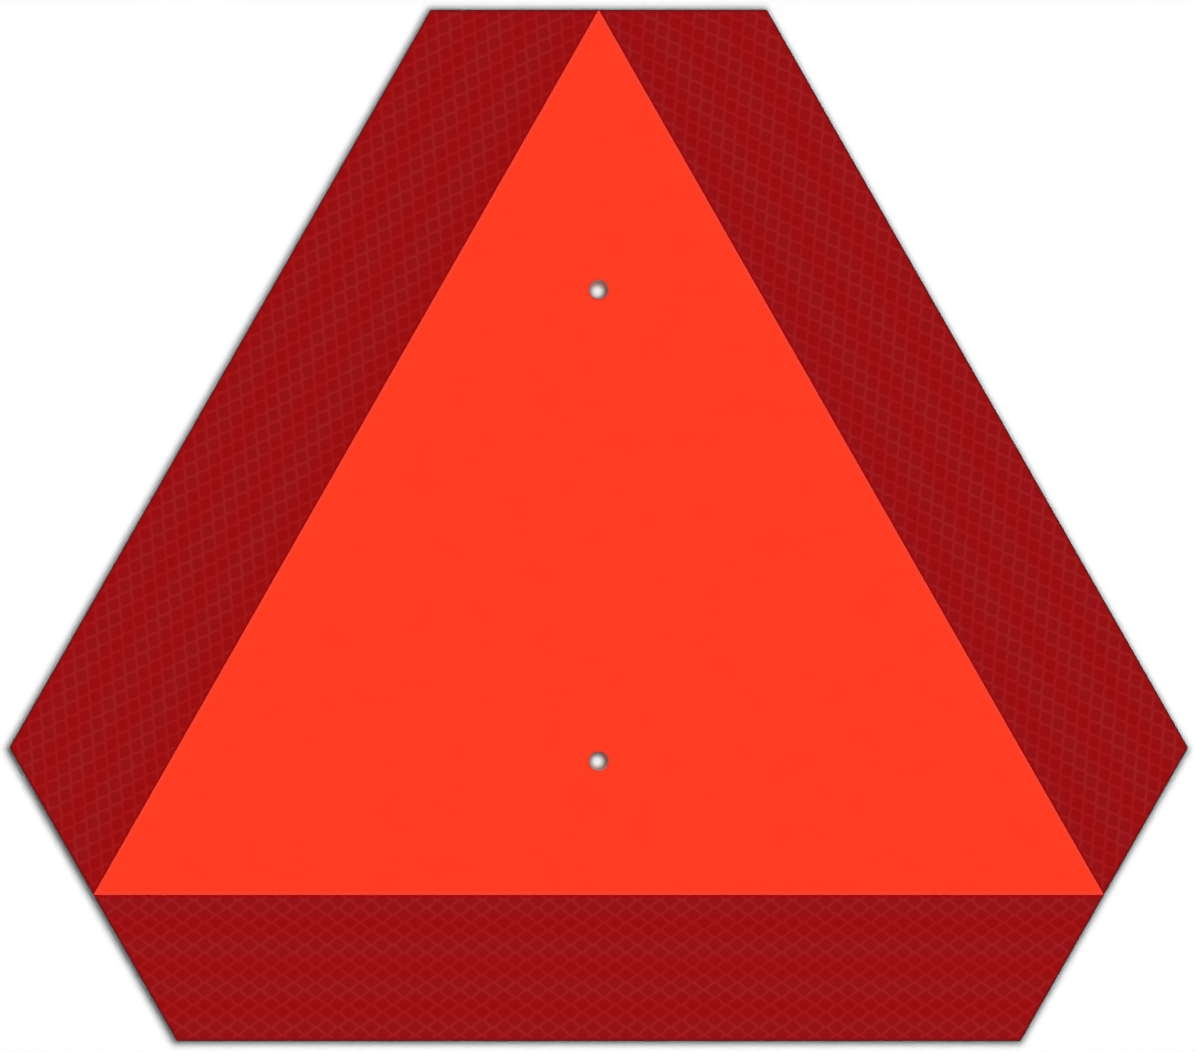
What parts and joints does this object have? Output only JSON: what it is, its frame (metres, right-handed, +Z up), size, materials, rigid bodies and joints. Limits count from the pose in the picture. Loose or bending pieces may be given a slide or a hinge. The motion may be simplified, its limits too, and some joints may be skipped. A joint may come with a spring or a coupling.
{
  "type": "slow moving vehicle sign",
  "caption": "Flat blunt-cornered triangular warning sign for the rear of slow vehicles and trailers: fluorescent triangle framed by reflective strips, punched for bolts.",
  "frame": {"origin": "midway between the bolt holes, on the back face of the backing plate, which is mid-height and on the centre line of the sign", "axes": "+X to the right as seen from the front, +Y from the front out of the back face towards what the sign is bolted to, +Z up towards the blunt top corner; the sign faces -Y and stands upright as it is mounted"},
  "size_m": [0.4062, 0.002, 0.3556],
  "materials": {
    "aluminium_sheet": "bare mill-finished sheet, rolled grain, satin",
    "fluorescent_film": "smooth fluorescent red-orange vinyl film",
    "reflective_tape": "glossy deep red prismatic tape with a fine diamond net of seal lines"
  },
  "bodies": {
    "root": {"backing_plate": "aluminium_sheet", "fluorescent_triangle": "fluorescent_film", "reflective_strip_left": "reflective_tape", "reflective_strip_right": "reflective_tape", "reflective_strip_bottom": "reflective_tape"}
  },
  "joints": []
}
